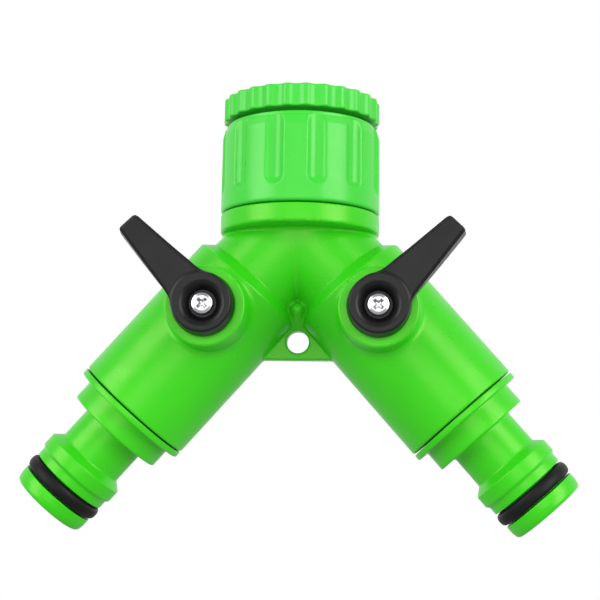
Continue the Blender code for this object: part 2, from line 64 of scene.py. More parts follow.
# Sizes in millimetres, most of them shared with the CAD model
ARM_R, BARREL_R = 10.34, 12.45
SHOULDER_START, SHOULDER_END, BARREL_END = 13.7, 15.56, 48.9
LEG_BORE_R, CAVITY_R, CAVITY_START = 5.0, 9.2, 14.96
PIVOT_AT = 24.56
NUT_R, NUT_TOP, NUT_BOTTOM = 16.0, -5.37, -23.37
NUT_ROOT_R, NUT_THREAD_END = 13.4, -16.2
NUT_CHAMBER_R, NUT_FLOOR, NUT_HOLE_R = 12.6, -20.9, 10.3
NUT_COLLAR_R, NUT_SHOULDER = 14.9, -6.17
FLUTE_COUNT, FLUTE_R, FLUTE_DEPTH, FLUTE_CENTRE_END = 12, 2.4, 0.95, -18.05
ADAPTER_R, ADAPTER_RIM = 15.78, 4.49
ADAPTER_END, ADAPTER_FLOOR = -15.4, -13.0
RIM_INNER_R, RIB_COUNT, RIB_HALF, SCALLOP_DEPTH = 14.5, 26, 0.39, 0.55
INNER_ROOT_R, OUTER_ROOT_R = 10.5, 11.9
THREAD_PITCH, THREAD_DEPTH, THREAD_CREST, THREAD_FLANK = 1.814, 1.15, 0.25, radians(27.5)
MALE_THREAD_AT, TAP_THREAD_AT = -14.6, -10.0  # where each ridge's middle crosses +X
NUT_THREAD_AT = MALE_THREAD_AT + THREAD_PITCH / 2  # half a pitch off the thread it holds
MALE_THREAD, TAP_THREAD, NUT_THREAD = (-5.5, ADAPTER_END + 0.4), (-0.7, -10.6), (-6.0, -15.0)
ON_WALL = 0.05  # how far from a wall's radius a point still counts as on it
WASHER_HOLE_R, NUT_WASHER_R, ADAPTER_WASHER_HEIGHT = 5.8, 11.8, 2.0
FLANGE_R, FLANGE_BOTTOM = 15.95, -27.47
SPIGOT_R, SPIGOT_TOP, SPIGOT_BORE_R = 9.9, -18.3, 6.0
CLIP_GROOVE_R, CLIP_R, CLIP_TOP, CLIP_BOTTOM = 8.9, 11.8, -19.6, -20.6
CLIP_MOUTH = radians(50)
WEB_BOTTOM, WEB_TOP, WEB_HALF = -52.63, -39.0, 1.5
WEB_HOLE_R, WEB_HOLE_Z = 2.2, -49.02
WEB_FOOT_IN, WEB_HEAD_IN = 13.0, 8.0  # how far inside the legs' axes the web's corners are
BUTTRESS_R, BUTTRESS_TOP, BUTTRESS_FOOT = 1.42, (0, -3.7, -42.9), (0, -0.3, -46.1)
BOSS_R, BOSS_TOP = 7.7, 20.3
STEM_HOLE_R, STEM_R, STEM_FLANGE_R = 3.8, 3.5, 4.6
STEM_FLANGE_BOTTOM, STEM_FLANGE_TOP = 7.3, 9.0
STEM_SQUARE, STEM_TOP = 4.4, 21.4
NICK_R, NICK_HALF, NICK_AT = 0.4, 0.3, 7.4  # the small notch in a boss's rim
STEM_GROOVE, STEM_GROOVE_R = (13.5, 16.1), 2.2
TANG, TANG_BOTTOM = (1.8, 6.4), 5.1
PAST_BARREL, PAST_BOSS, PAST_LEVER = 51, 23, 26  # heights in the open, where a cut starts
BALL_R, BALL_BORE_R = 7.0, 4.0
LEVER_LEAN = radians(5.0)
LEVER_LENGTH, LEVER_HUB_R, LEVER_HUB_TOP = 21.1, 5.95, 24.5
LEVER_ARM, LEVER_CHAMFER = (20.9, 24.3), 0.36
LEVER_TIP_HALF, LEVER_NECK_HALF, LEVER_FLARE = 2.1, 3.5, 0.24
DISH_R, DISH_FLOOR_R, DISH_FLOOR = 3.9, 2.6, 22.5
SCREW_HEAD_R, SCREW_HEAD_TOP, SCREW_R, SCREW_END, SCREW_HOLE_R = 2.05, 23.8, 1.0, 13.5, 1.35
SCREW_PITCH, SCREW_RIDGE = 0.85, 0.22
CROSS_ARM, CROSS_HALF, CROSS_HEART, CROSS_DEPTH = 1.15, 0.25, 0.62, 1.25
NIPPLE_START, NIPPLE_FLANGE = 34.16, (49.2, 50.44)
COLLAR_R, COLLAR_END = 10.25, 54.74
NECK_R, NECK_END = 6.9, 61.81
RIDGE_R, RIDGE_START, RIDGE_END = 8.6, 63.24, 65.72
NOSE_R, NOSE_START, NOSE_END = 8.08, 66.3, 74.32
O_RING_GROOVE, O_RING_GROOVE_R, O_RING_R = (68.0, 71.2), 6.2, 8.5
NIPPLE_BORE_R = 4.9
PLUG_GROOVE, PLUG_GROOVE_R = (39.5, 42.7), 6.6

# How much shorter than in the CAD model the outermost ends are, so that the box stays inside that model's
NOSE_SHORT, HUB_SHORT = 0.02, 0.005

# The studio, in metres and watts, and its camera, whose lens and sensor are in millimetres
FLOOR_R, FLOOR_Z, FLOOR_SIDES = 4, -0.62, 96
ROOM_FRONT, ROOM_FLOOR = 0.45, 0.5  # how bright the room is in front and below, where it is 1 behind
LIGHTS_AIM = (0, 0, -0.05)
SOFTBOXES = [  # name, place, size and power
    ("left_softbox", (-0.62, -0.46, 0.16), (0.5, 0.7), 4.3),
    ("right_softbox", (0.62, -0.46, 0.16), (0.5, 0.7), 5.0),
    ("front_softbox", (0, -0.75, -0.02), (0.5, 0.4), 1.15),
]
VIEW_MIDDLE, VIEW_DISTANCE = (0.00024, 0, -0.0404), 0.2899
VIEW_AZIMUTH, VIEW_ELEVATION, VIEW_ROLL = radians(3.99), radians(-8.23), radians(0.93)
LENS, SENSOR_WIDTH = 86.83, 36


# ---------------------------------------------------------------- frames


class Axis:
    """A local frame: its origin in millimetres and its three directions."""

    def __init__(self, origin, along, across=None):
        self.origin = np.array(origin, float)
        z = np.array(along, float)
        x = np.array(across if across is not None else (0, 1, 0), float)
        z /= np.linalg.norm(z)
        x -= z * (x @ z)
        x /= np.linalg.norm(x)
        self.turn = np.array([x, np.cross(z, x), z])

    def local(self, points):
        return (points - self.origin) @ self.turn.T

    def world(self, points):
        return points @ self.turn + self.origin


def leg_axis(name):
    """Z runs along the leg to its outlet, from where it meets the inlet's axis."""
    direction = np.array(MOUNTS[f"{name}_outlet_end"]["axis"], float)
    pivot = np.array(JOINTS[f"{name}_lever_turn"]["pos_m"], float) / MM
    return Axis(pivot - direction * (pivot[0] / direction[0]), direction)


def valve_axis(name, side):
    """Z runs out of the boss, and X along the closed lever."""
    pivot = np.array(JOINTS[f"{name}_lever_turn"]["pos_m"], float) / MM
    direction = np.array(MOUNTS[f"{name}_outlet_end"]["axis"], float)
    lean = np.arctan2(abs(direction[0]), -direction[2]) + LEVER_LEAN
    return Axis(pivot, (0, -1, 0), (side * cos(lean), 0, sin(lean)))


SIDES = [(name, side, leg_axis(name), valve_axis(name, side)) for name, side in (("left", -1), ("right", 1))]
INLET = Axis((0, 0, 0), (0, 0, 1), (1, 0, 0))


# ---------------------------------------------------------------- distance fields


def outline_distance(u, v, corners):
    """Signed distance in a plane to a closed outline, negative inside."""
    nearest = np.full(u.shape, 1e9)
    inside = np.zeros(u.shape, bool)
    for (u0, v0), (u1, v1) in zip(corners, np.roll(corners, -1, axis=0)):
        eu, ev = u1 - u0, v1 - v0
        wu, wv = u - u0, v - v0
        t = np.clip((wu * eu + wv * ev) / (eu * eu + ev * ev), 0, 1)
        nearest = np.minimum(nearest, (wu - eu * t) ** 2 + (wv - ev * t) ** 2)
        if ev:
            crosses = (v0 <= v) != (v1 <= v)
            inside ^= crosses & (wu < wv * eu / ev)
    return np.where(inside, -1, 1) * np.sqrt(nearest)


def inset(corners, by):
    """The outline moved inwards. Distance to it less the same amount rounds the outer corners."""
    corners = np.array(corners, float)
    edges = np.roll(corners, -1, axis=0) - corners
    edges /= np.linalg.norm(edges, axis=1)[:, None]
    following = np.roll(corners, -1, axis=0)
    area = (corners[:, 0] * following[:, 1] - following[:, 0] * corners[:, 1]).sum()
    inward = np.stack([-edges[:, 1], edges[:, 0]], 1) * np.sign(area)
    before = np.roll(inward, 1, axis=0)
    return corners + by * (before + inward) / (1 + (before * inward).sum(1))[:, None]


def turned_distance(local, corners, rounding=0.0):
    """Distance to a closed outline of (radius, height) turned about Z."""
    radius = np.hypot(local[:, 0], local[:, 1])
    outline = inset(corners, rounding) if rounding else np.array(corners, float)
    return outline_distance(radius, local[:, 2], outline) - rounding


def box_distance(local, low, high, rounding=0.0):
    """Distance to a box, with its edges rounded."""
    low, high = np.array(low, float), np.array(high, float)
    out = np.abs(local - (low + high) / 2) - (high - low) / 2 + rounding
    return np.linalg.norm(np.maximum(out, 0), axis=1) + np.minimum(out.max(1), 0) - rounding


def plate_distance(u, v, w, corners, low, high, rounding=0.0):
    """A flat outline in u and v between two heights."""
    flat = outline_distance(u, v, inset(corners, rounding) if rounding else np.array(corners, float))
    deep = np.abs(w - (low + high) / 2) - (high - low) / 2 + rounding
    beyond = np.hypot(np.maximum(flat, 0), np.maximum(deep, 0))
    return beyond + np.minimum(np.maximum(flat, deep), 0) - rounding


def capsule_distance(points, start, end, radius):
    """Distance to a rod with round ends."""
    start, end = np.array(start, float), np.array(end, float)
    along = end - start
    t = np.clip((points - start) @ along / (along @ along), 0, 1)
    return np.linalg.norm(points - start - t[:, None] * along, axis=1) - radius


def joined(a, b, fillet):
    """Both solids, with the hollow between them filled to about this radius."""
    near = np.maximum(fillet - np.abs(a - b), 0) / fillet
    return np.minimum(a, b) - near * near * fillet / 4


def without(a, b, edge=0.25):
    """The first solid less the second, with the new edge rounded a little."""
    return -joined(-a, b, edge)


# ---------------------------------------------------------------- meshes


def put_in_scene(name, data):
    obj = bpy.data.objects.new(name, data)
    bpy.context.scene.collection.objects.link(obj)
    return obj


def new_piece(node, points, quads, normals=None):
    """A piece in place of a CAD node, on that node's body and with its material."""
    name = f"{node}_visual"
    mesh = bpy.data.meshes.new(name)
    mesh.from_pydata((np.asarray(points) * MM).tolist(), [], np.asarray(quads).tolist())
    mesh.update()
    mesh.shade_smooth()
    if normals is not None:
        mesh.normals_split_custom_set_from_vertices(normals.tolist())
    piece = put_in_scene(name, mesh)
    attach(piece, BODY_OF[node])
    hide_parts(node)
    piece.data.materials.append(MATERIALS[SLOT_OF[node]])
    return piece


def slope_of(field, points, reach):
    """The field's gradient, from points this far to either side."""
    return np.stack([field(points + d) - field(points - d) for d in np.eye(3) * reach], 1) / (2 * reach)


def pulled_onto(points, field, step, rounds=2):
    """Each point moved on to the surface, down the field's slope."""
    for _ in range(rounds):
        value = field(points)
        slope = slope_of(field, points, step * 0.05)
        steepness = np.maximum((slope**2).sum(1), 0.05)
        move = slope * (value / steepness)[:, None]
        length = np.maximum(np.linalg.norm(move, axis=1), 1e-9)
        points = points - move * np.minimum(1, step * 0.6 / length)[:, None]
    return points


def meshed(low, high, step, field, relaxing=3):
    """Points and quads of the surface where the field is 0, by surface nets.

    Only blocks of points that lie near the surface are worked out in full.
    """
    block = 4
    near_steps = 5.2  # twice a block's half diagonal, for a field that is flatter than a distance
    low = np.array(low, float)
    blocks = np.ceil((np.array(high, float) - low) / (step * block)).astype(int) + 1
    corners = np.indices(blocks).reshape(3, -1).T
    middle = field(low + (corners * block + (block - 1) / 2) * step)
    grid = np.where(middle > 0, 1.0, -1.0).reshape(blocks)
    for axis in range(3):
        grid = np.repeat(grid, block, axis=axis)
    near = corners[np.abs(middle) < step * near_steps]
    within = np.indices((block, block, block)).reshape(3, -1).T
    nodes = (near[:, None] * block + within).reshape(-1, 3)
    grid[tuple(nodes.T)] = field(low + nodes * step)

    inside = grid < 0
    nx, ny, nz = np.array(grid.shape) - 1
    count = sum(
        inside[i : i + nx, j : j + ny, k : k + nz].astype(np.int8)
        for i in (0, 1)
        for j in (0, 1)
        for k in (0, 1)
    )
    cells = np.argwhere((count > 0) & (count < 8))
    number = np.full(grid.shape, -1)
    number[tuple(cells.T)] = np.arange(len(cells))
    total, crossings = np.zeros((len(cells), 3)), np.zeros(len(cells))
    for axis in range(3):
        unit = np.eye(3, dtype=int)[axis]
        for offset in within[(within[:, axis] == 0) & (within.max(1) < 2)]:
            start = cells + offset
            a, b = grid[tuple(start.T)], grid[tuple((start + unit).T)]
            cut = (a < 0) != (b < 0)
            t = np.where(cut, a / np.where(a == b, 1, a - b), 0)
            total += np.where(cut[:, None], start + t[:, None] * unit, 0)
            crossings += cut
    points = low + total / crossings[:, None] * step

    quads = []
    for axis in range(3):
        unit, u, v = (np.eye(3, dtype=int)[(axis + n) % 3] for n in range(3))
        last = np.array(grid.shape) - unit
        here = inside[: last[0], : last[1], : last[2]]
        there = inside[unit[0] :, unit[1] :, unit[2] :]
        ends = np.argwhere(here != there)
        ring = [number[tuple((ends - shift).T)] for shift in (0 * u, u, u + v, v)]
        quad = np.stack(ring, 1)
        outward = here[tuple(ends.T)]
        quads.append(np.where(outward[:, None], quad, quad[:, ::-1]))
    quads = np.concatenate(quads)

    points = pulled_onto(points, field, step)
    pairs = np.concatenate([quads[:, [n, (n + 1) % 4]] for n in range(4)])
    for _ in range(relaxing):
        sums = np.stack([np.bincount(pairs[:, 0], points[pairs[:, 1], k], len(points)) for k in range(3)], 1)
        shared = np.bincount(pairs[:, 0], minlength=len(points))[:, None]
        points = pulled_onto((points + sums / shared) / 2, field, step, 1)
    return points, quads


def carved(node, axis, low, high, step, field):
    """A piece from a distance field given in a local frame."""
    points, quads = meshed(low, high, step, field)
    normals = slope_of(field, points, 0.1 * step)
    normals /= np.maximum(np.linalg.norm(normals, axis=1), 1e-6)[:, None]
    return new_piece(node, axis.world(points), quads, normals @ axis.turn)


def rounded_outline(corners, turns=5):
    """Corners given as (radius, height, fillet), with an arc in place of each corner that has a fillet."""
    points = []
    count = len(corners)
    for i, (r, z, fillet) in enumerate(corners):
        here = np.array((r, z), float)
        before = np.array(corners[i - 1][:2]) - here
        after = np.array(corners[(i + 1) % count][:2]) - here
        lengths = np.linalg.norm(before), np.linalg.norm(after)
        before, after = before / lengths[0], after / lengths[1]
        half = np.arccos(np.clip(before @ after, -1, 1)) / 2
        back = min(fillet / max(tan(half), 1e-6), min(lengths) * 0.49) if fillet else 0
        if not back:
            points.append(here)
            continue
        start, end = here + before * back, here + after * back
        for t in np.linspace(0, 1, turns):
            points.append((1 - t) ** 2 * start + 2 * t * (1 - t) * here + t * t * end)
    return np.array(points)


def spread_out(points, spacing):
    """The outline with long stretches split, so that the surface can follow a thread or a flute."""
    dense = []
    for here, there in zip(points, np.roll(points, -1, axis=0)):
        parts = max(1, int(np.ceil(np.linalg.norm(there - here) / spacing)))
        dense += [here + (there - here) * n / parts for n in range(parts)]
    return np.array(dense)


def lathed(node, axis, outline, columns=160, shift=None):
    """A closed outline of (radius, height), listed down its outer side, turned about the axis.

    shift(radius, height, angle) gives what is added to the radius.
    """
    angles = np.arange(columns) * 2 * pi / columns
    radius = np.repeat(outline[:, :1], columns, axis=1)
    height = np.repeat(outline[:, 1:], columns, axis=1)
    if shift:
        radius = radius + shift(radius, height, np.repeat(angles[None], len(outline), axis=0))
    local = np.stack([radius * np.cos(angles), radius * np.sin(angles), height], 2).reshape(-1, 3)
    row, column = np.indices((len(outline), columns))
    next_row, next_column = (row + 1) % len(outline), (column + 1) % columns
    ring = [(row, column), (next_row, column), (next_row, next_column), (row, next_column)]
    quads = np.stack([r * columns + c for r, c in ring], 2).reshape(-1, 4)
    return new_piece(node, axis.world(local), quads)


def smooth_step(t):
    t = np.clip(t, 0, 1)
    return t * t * (3 - 2 * t)


def thread_height(height, angle, centre, top, bottom):
    """How far a right-hand thread's ridge stands up, with a run-out at both ends."""
    phase = (height - centre) / THREAD_PITCH - angle / (2 * pi)
    across = np.abs((phase + 0.5) % 1 - 0.5) * THREAD_PITCH
    half_crest = THREAD_CREST / 2
    half_root = half_crest + THREAD_DEPTH * tan(THREAD_FLANK)
    ridge = smooth_step((half_root - across) / (half_root - half_crest))
    ends = smooth_step(top - height) * smooth_step(height - bottom)
    return THREAD_DEPTH * ridge * ends


# ---------------------------------------------------------------- materials


def link(tree, source, target):
    tree.links.new(source, target)


def noise(tree, scale, detail=3.0, roughness=0.5):
    """Noise over the piece's own coordinates, which are metres."""
    place = tree.nodes.new("ShaderNodeTexCoord")
    texture = tree.nodes.new("ShaderNodeTexNoise")
    texture.inputs["Scale"].default_value = scale
    texture.inputs["Detail"].default_value = detail
    texture.inputs["Roughness"].default_value = roughness
    link(tree, place.outputs["Object"], texture.inputs["Vector"])
    return texture.outputs["Fac"]


def ranged(tree, value, low, high, start=0.3, end=0.7, kind="LINEAR"):
    """The value, spread so that start to end becomes low to high."""
    spread = tree.nodes.new("ShaderNodeMapRange")
    spread.interpolation_type = kind
    spread.inputs["From Min"].default_value = start
    spread.inputs["From Max"].default_value = end
    spread.inputs["To Min"].default_value = low
    spread.inputs["To Max"].default_value = high
    link(tree, value, spread.inputs["Value"])
    return spread.outputs["Result"]


def mixed(tree, fac, low, high):
    mix = tree.nodes.new("ShaderNodeMix")
    mix.data_type = "RGBA"
    mix.inputs["A"].default_value = (*low, 1)
    mix.inputs["B"].default_value = (*high, 1)
    link(tree, fac, mix.inputs["Factor"])
    return mix.outputs["Result"]


def bumped(tree, height, distance, below=None):
    bump = tree.nodes.new("ShaderNodeBump")
    bump.inputs["Distance"].default_value = distance
    link(tree, height, bump.inputs["Height"])
    if below:
        link(tree, below, bump.inputs["Normal"])
    return bump.outputs["Normal"]


def moulded(name, low, high, roughness, grain, orange_peel, ior=1.5, tint=(1, 1, 1)):
    """Moulded plastic or rubber: slow drift of colour and gloss, a fine grain and a slow waviness."""
    material = bpy.data.materials.new(name)
    material.use_nodes = True
    tree = material.node_tree
    shader = tree.nodes["Principled BSDF"]
    drift = ranged(tree, noise(tree, scale=55, detail=4), 0, 1)
    link(tree, mixed(tree, drift, low, high), shader.inputs["Base Color"])
    gloss = ranged(tree, noise(tree, scale=240, detail=5, roughness=0.6), *roughness)
    link(tree, gloss, shader.inputs["Roughness"])
    wavy = bumped(tree, noise(tree, scale=160, detail=1.5), orange_peel)
    link(tree, bumped(tree, noise(tree, scale=5200, detail=2), grain, wavy), shader.inputs["Normal"])
    shader.inputs["IOR"].default_value = ior
    shader.inputs["Specular Tint"].default_value = (*tint, 1)
    material.diffuse_color = (*high, 1)
    return material


def metal(name, low, high, roughness, grain):
    """Metal with a slow drift of tone and gloss and a fine grain."""
    material = bpy.data.materials.new(name)
    material.use_nodes = True
    tree = material.node_tree
    shader = tree.nodes["Principled BSDF"]
    shader.inputs["Metallic"].default_value = 1.0
    drift = ranged(tree, noise(tree, scale=400, detail=4), 0, 1)
    link(tree, mixed(tree, drift, low, high), shader.inputs["Base Color"])
    gloss = ranged(tree, noise(tree, scale=900, detail=5, roughness=0.6), *roughness)
    link(tree, gloss, shader.inputs["Roughness"])
    link(tree, bumped(tree, noise(tree, scale=4000), grain), shader.inputs["Normal"])
    material.diffuse_color = (*high, 1)
    return material


MATERIALS = {
    "green_plastic": moulded(
        "green_plastic",
        low=(0.028, 0.540, 0.007),
        high=(0.036, 0.585, 0.011),
        roughness=(0.26, 0.38),
        grain=2e-6,
        orange_peel=3e-5,
        tint=(1.0, 1.0, 0.5),
    ),
    "mint_plastic": moulded(
        "mint_plastic",
        low=(0.038, 0.560, 0.030),
        high=(0.047, 0.600, 0.041),
        roughness=(0.26, 0.38),
        grain=2e-6,
        orange_peel=3e-5,
        tint=(0.9, 1.0, 0.85),
    ),
    "black_plastic": moulded(
        "black_plastic",
        low=(0.0045, 0.0045, 0.005),
        high=(0.006, 0.006, 0.0065),
        roughness=(0.30, 0.42),
        grain=4e-6,
        orange_peel=2e-5,
        ior=1.36,
    ),
    "white_seat": moulded(
        "white_seat",
        low=(0.74, 0.74, 0.71),
        high=(0.80, 0.80, 0.78),
        roughness=(0.30, 0.42),
        grain=3e-6,
        orange_peel=2e-5,
    ),
    "black_rubber": moulded(
        "black_rubber",
        low=(0.003, 0.003, 0.003),
        high=(0.005, 0.005, 0.005),
        roughness=(0.44, 0.58),
        grain=8e-6,
        orange_peel=2e-5,
        ior=1.3,
    ),
    "steel": metal(
        "steel",
        low=(0.55, 0.55, 0.57),
        high=(0.68, 0.68, 0.70),
        roughness=(0.22, 0.34),
        grain=3e-6,
    ),
    "chromed_brass": metal(
        "chromed_brass",
        low=(0.74, 0.74, 0.76),
        high=(0.80, 0.80, 0.82),
        roughness=(0.08, 0.16),
        grain=1e-6,
    ),
}


# ---------------------------------------------------------------- inlet


def rim_shift(radius, height, angle):
    """Ribs and scallops of the finger rim, and the two threads of the adapter's tube."""
    across = np.abs((angle * RIB_COUNT / (2 * pi) + 0.5) % 1 - 0.5)
    scallop = SCALLOP_DEPTH * (1 - np.clip((0.5 - across) / RIB_HALF, 0, 1) ** 2)
    share = smooth_step((radius - RIM_INNER_R) / 1.2)
    male = (np.abs(radius - OUTER_ROOT_R) < ON_WALL) & (height < -ADAPTER_RIM - 0.2)
    female = (np.abs(radius - INNER_ROOT_R) < 0.25) & (height > ADAPTER_FLOOR + 0.1)
    shift = np.where(radius > RIM_INNER_R, -scallop * share, 0)
    shift += np.where(male, thread_height(height, angle, MALE_THREAD_AT, *MALE_THREAD), 0)
    shift -= np.where(female, thread_height(height, angle, TAP_THREAD_AT, *TAP_THREAD), 0)
    return shift


def adapter_ring():
    outline = rounded_outline(
        [
            (INNER_ROOT_R + 0.35, 0, 0.15),
            (ADAPTER_R, 0, 0.45),
            (ADAPTER_R, -ADAPTER_RIM, 0.4),
            (OUTER_ROOT_R, -ADAPTER_RIM, 0.3),
            (OUTER_ROOT_R, ADAPTER_END, 0.4),
            (WASHER_HOLE_R + 0.2, ADAPTER_END, 0.2),
            (WASHER_HOLE_R + 0.2, ADAPTER_FLOOR, 0.2),
            (INNER_ROOT_R, ADAPTER_FLOOR, 0.2),
            (INNER_ROOT_R, -0.4, 0.1),
        ]
    )
    lathed("adapter_ring", INLET, spread_out(outline, 0.2), RIB_COUNT * 16, rim_shift)


def nut_shift(radius, height, angle):
    """Finger flutes outside and the thread inside."""
    turn = (angle * FLUTE_COUNT / (2 * pi)) % 1 - 0.5
    across = NUT_R * turn * 2 * pi / FLUTE_COUNT
    below = np.maximum(FLUTE_CENTRE_END - height, 0)
    hollow = np.sqrt(np.maximum(FLUTE_R**2 - across**2 - below**2, 0))
    floor = NUT_R - (hollow - FLUTE_R + FLUTE_DEPTH)
    outside = radius > NUT_ROOT_R + 0.9
    shift = np.where(outside, joined(radius, floor, 0.22) - radius, 0)
    wall = np.abs(radius - NUT_ROOT_R) < ON_WALL
    return shift - np.where(wall, thread_height(height, angle, NUT_THREAD_AT, *NUT_THREAD), 0)


def swivel_nut():
    outline = rounded_outline(
        [
            (NUT_ROOT_R + 0.5, NUT_TOP, 0.1),
            (NUT_COLLAR_R, NUT_TOP, 0.25),
            (NUT_COLLAR_R, NUT_SHOULDER, 0.15),
            (NUT_R - 0.55, NUT_SHOULDER, 0.25),
            (NUT_R - 0.1, NUT_SHOULDER - 1.7, 1.6),
            (NUT_R, NUT_BOTTOM, 0.8),
            (NUT_HOLE_R, NUT_BOTTOM, 0.2),
            (NUT_HOLE_R, NUT_FLOOR, 0.2),
            (NUT_CHAMBER_R, NUT_FLOOR, 0.3),
            (NUT_CHAMBER_R, NUT_THREAD_END, 0.2),
            (NUT_ROOT_R, NUT_THREAD_END, 0.1),
            (NUT_ROOT_R, NUT_TOP - 0.5, 0.1),
        ]
    )
    lathed("swivel_nut", INLET, spread_out(outline, 0.24), FLUTE_COUNT * 40, nut_shift)


def washer(node, inner, outer, low, high):
    edge = 0.25
    corners = [(inner, high, edge), (outer, high, edge), (outer, low, edge), (inner, low, edge)]
    lathed(node, INLET, spread_out(rounded_outline(corners), 0.5), 128)


def washers():
    low = ADAPTER_FLOOR + GAP
    washer("adapter_washer", WASHER_HOLE_R, INNER_ROOT_R - GAP, low, low + ADAPTER_WASHER_HEIGHT)
    washer("nut_washer", WASHER_HOLE_R, NUT_WASHER_R, SPIGOT_TOP + GAP, ADAPTER_END - GAP)


def clip_field(local):
    inner = CLIP_GROOVE_R + GAP
    corners = [(inner, CLIP_TOP), (CLIP_R, CLIP_TOP), (CLIP_R, CLIP_BOTTOM), (inner, CLIP_BOTTOM)]
    ring = turned_distance(local, corners, 0.15)
    half = CLIP_MOUTH / 2
    mouth = np.abs(local[:, 1]) * cos(half) - local[:, 0] * sin(half)
    return without(ring, mouth, 0.3)


def nut_retaining_ring():
    low, high = (-12.4, -12.4, CLIP_BOTTOM - 0.6), (12.4, 12.4, CLIP_TOP + 0.6)
    carved("nut_retaining_ring", INLET, low, high, 0.25, clip_field)


# ---------------------------------------------------------------- body

LEG, VALVE = SIDES[1][2:]  # the right side's frames
MIRROR = np.array((-1, 1, 1))


def leg_field(local):
    return turned_distance(
        local,
        [
            (SOLID, BARREL_END),
            (BARREL_R, BARREL_END),
            (BARREL_R, SHOULDER_END),
            (ARM_R, SHOULDER_START),
            (ARM_R, -4),
            (SOLID, -4),
        ],
        0.4,
    )


TRUNK = rounded_outline(
    [
        (SOLID, SPIGOT_TOP, 0),
        (SPIGOT_R, SPIGOT_TOP, 0.4),
        (SPIGOT_R, CLIP_TOP + GAP, 0),
        (CLIP_GROOVE_R, CLIP_TOP + GAP, 0),
        (CLIP_GROOVE_R, CLIP_BOTTOM - GAP, 0),
        (SPIGOT_R, CLIP_BOTTOM - GAP, 0),
        (SPIGOT_R, NUT_BOTTOM - GAP, 0),
        (FLANGE_R, NUT_BOTTOM - GAP, 0.3),
        (FLANGE_R, FLANGE_BOTTOM, 0.6),
        (SOLID, FLANGE_BOTTOM, 0),
    ],
    4,
)


def body_field(points):
    """The body's two sides are mirror images, so only the right one is described."""
    points = points * np.where(points[:, :1] < 0, MIRROR, 1)
    leg, valve = LEG.local(points), VALVE.local(points)
    legs = joined(leg_field(leg), leg_field(LEG.local(points * MIRROR)), 0.8)
    legs = np.maximum(legs, points[:, 2] - FLANGE_BOTTOM - 1.5)
    solid = joined(turned_distance(points, TRUNK), legs, 0.9)
    boss = turned_distance(valve, [(SOLID, BOSS_TOP), (BOSS_R, BOSS_TOP), (BOSS_R, 2), (SOLID, 2)], 0.5)
    nick = capsule_distance(valve, (-NICK_HALF, NICK_AT, BOSS_TOP), (NICK_HALF, NICK_AT, BOSS_TOP), NICK_R)
    solid = joined(solid, without(boss, nick, 0.2), 1.3)
    spread = tan(np.arctan2(LEG.turn[2][0], -LEG.turn[2][2]))
    foot = (LEG.origin[2] - WEB_BOTTOM) * spread - WEB_FOOT_IN
    head = (LEG.origin[2] - WEB_TOP) * spread - WEB_HEAD_IN
    corners = [(-foot, WEB_BOTTOM), (foot, WEB_BOTTOM), (head, WEB_TOP), (-head, WEB_TOP)]
    web = plate_distance(points[:, 0], points[:, 2], points[:, 1], corners, -WEB_HALF, WEB_HALF, 0.35)
    solid = joined(solid, web, 0.3)
    folded = points * np.where(points[:, 1:2] > 0, (1, -1, 1), 1)
    solid = joined(solid, capsule_distance(folded, BUTTRESS_TOP, BUTTRESS_FOOT, BUTTRESS_R), 1.0)

    throat_end = LEG.origin[2] - 3.5
    throat = np.maximum(np.hypot(points[:, 0], points[:, 1]) - SPIGOT_BORE_R, throat_end - points[:, 2])
    bore = turned_distance(
        leg,
        [
            (SOLID, PAST_BARREL),
            (CAVITY_R, PAST_BARREL),
            (CAVITY_R, CAVITY_START),
            (LEG_BORE_R, CAVITY_START),
            (LEG_BORE_R, 0.5),
            (SOLID, 0.5),
        ],
    )
    wide = STEM_FLANGE_R + GAP
    stem = turned_distance(
        valve,
        [
            (SOLID, PAST_BOSS),
            (STEM_HOLE_R, PAST_BOSS),
            (STEM_HOLE_R, STEM_FLANGE_TOP + GAP),
            (wide, STEM_FLANGE_TOP + GAP),
            (wide, 0),
            (SOLID, 0),
        ],
    )
    hole = np.hypot(points[:, 0], points[:, 2] - WEB_HOLE_Z) - WEB_HOLE_R
    removed = np.minimum(np.minimum(throat, bore), np.minimum(stem, hole))
    return without(solid, removed, 0.5)


def y_body():
    low, high = (Vector(corner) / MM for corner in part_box("y_body"))
    margin = Vector((1, 1, 1))
    carved("y_body", INLET, low - margin, high + margin, 0.38, body_field)


# ---------------------------------------------------------------- legs' pieces


def o_ring(node, axis, groove, inner, outer, columns):
    """A ring with a round section, a little flattened by its groove."""
    low, high = groove[0] + GAP, groove[1] - GAP
    turn = -np.arange(28) * 2 * pi / 28
    c, s = np.cos(turn), np.sin(turn)
    across = (inner + outer) / 2 + (outer - inner) / 2 * np.sign(c) * np.abs(c) ** 0.85
    along = (low + high) / 2 + (high - low) / 2 * np.sign(s) * np.abs(s) ** 0.85
    lathed(node, axis, np.stack([across, along], 1), columns)


